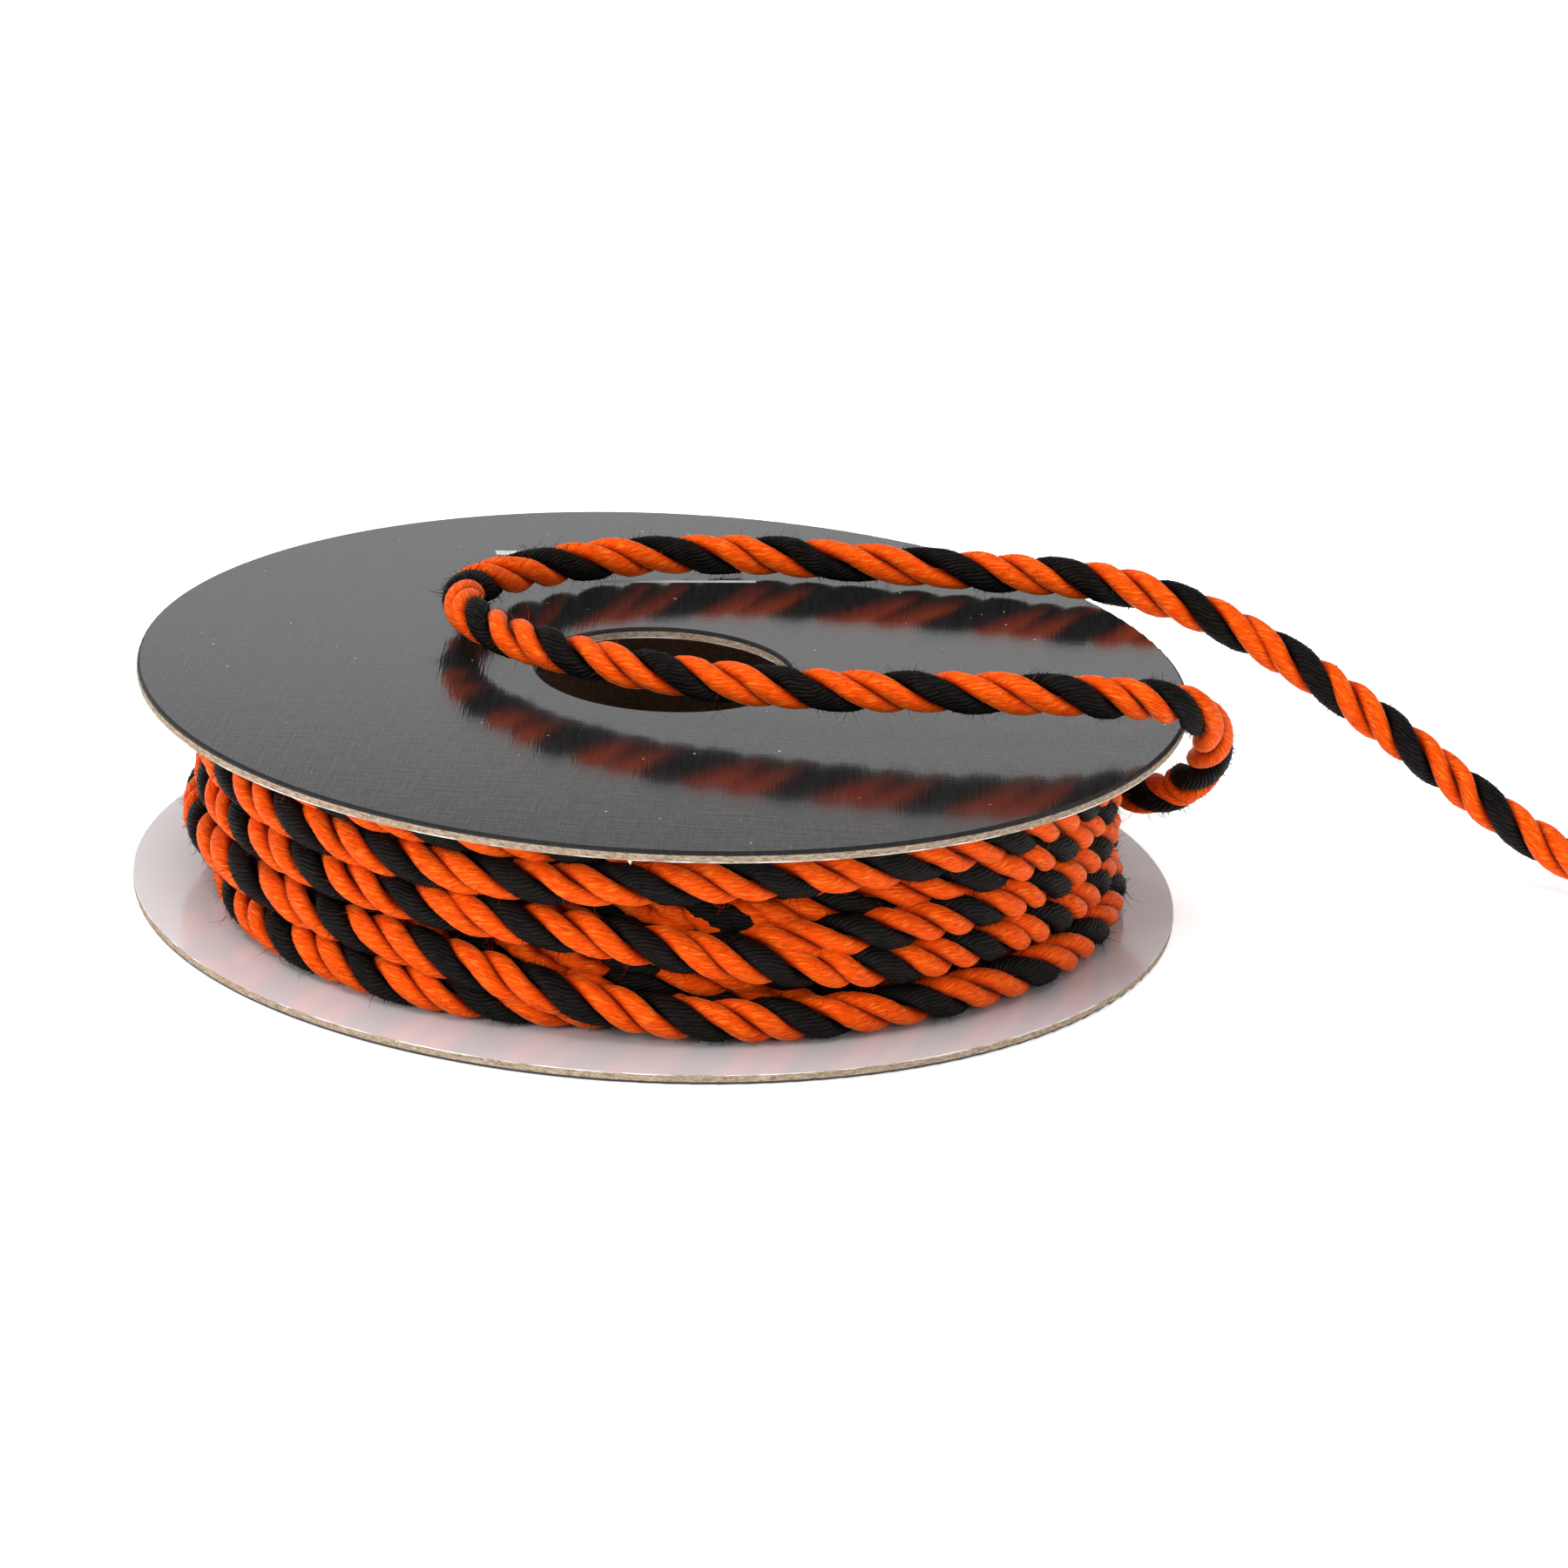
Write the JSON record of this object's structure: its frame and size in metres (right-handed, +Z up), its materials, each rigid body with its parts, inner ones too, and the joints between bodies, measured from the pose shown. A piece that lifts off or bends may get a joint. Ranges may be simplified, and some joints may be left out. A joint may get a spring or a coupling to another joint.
{
  "type": "cord spool",
  "caption": "Flat card spool wound with thick orange and black twisted cord, its free end looped over the top disc and run down to the floor.",
  "frame": {"origin": "centre of the bottom face of the lower disc, on the spindle axis", "axes": "+Z up along the spindle hole, towards the top disc; +X towards the side where the free end of the cord leaves; +Y towards the back"},
  "size_m": [0.1767, 0.1036, 0.0303],
  "materials": {
    "grey_board": "raw die-cut grey board",
    "cover_paper": "black paper with a glossy film",
    "liner_paper": "white coated paper",
    "core_board": "brown wound paper tube",
    "glue": "dried glue",
    "paper_tape": "creped paper tape",
    "clear_tape": "glossy clear tape",
    "cord_yarn": "soft spun yarn with a slight sheen, orange and black strands"
  },
  "bodies": {
    "root": {"top_disc_board": "grey_board", "top_disc_cover": "cover_paper", "top_disc_liner": "liner_paper", "bottom_disc_board": "grey_board", "bottom_disc_cover": "cover_paper", "bottom_disc_liner": "liner_paper", "core_tube": "core_board", "core_glue_top": "glue", "core_glue_bottom": "glue", "start_tape": "paper_tape", "cord_inner_layer": "cord_yarn", "cord_outer_layer": "cord_yarn", "cord_tail": "cord_yarn", "cord_end_wrap": "clear_tape"}
  },
  "joints": []
}
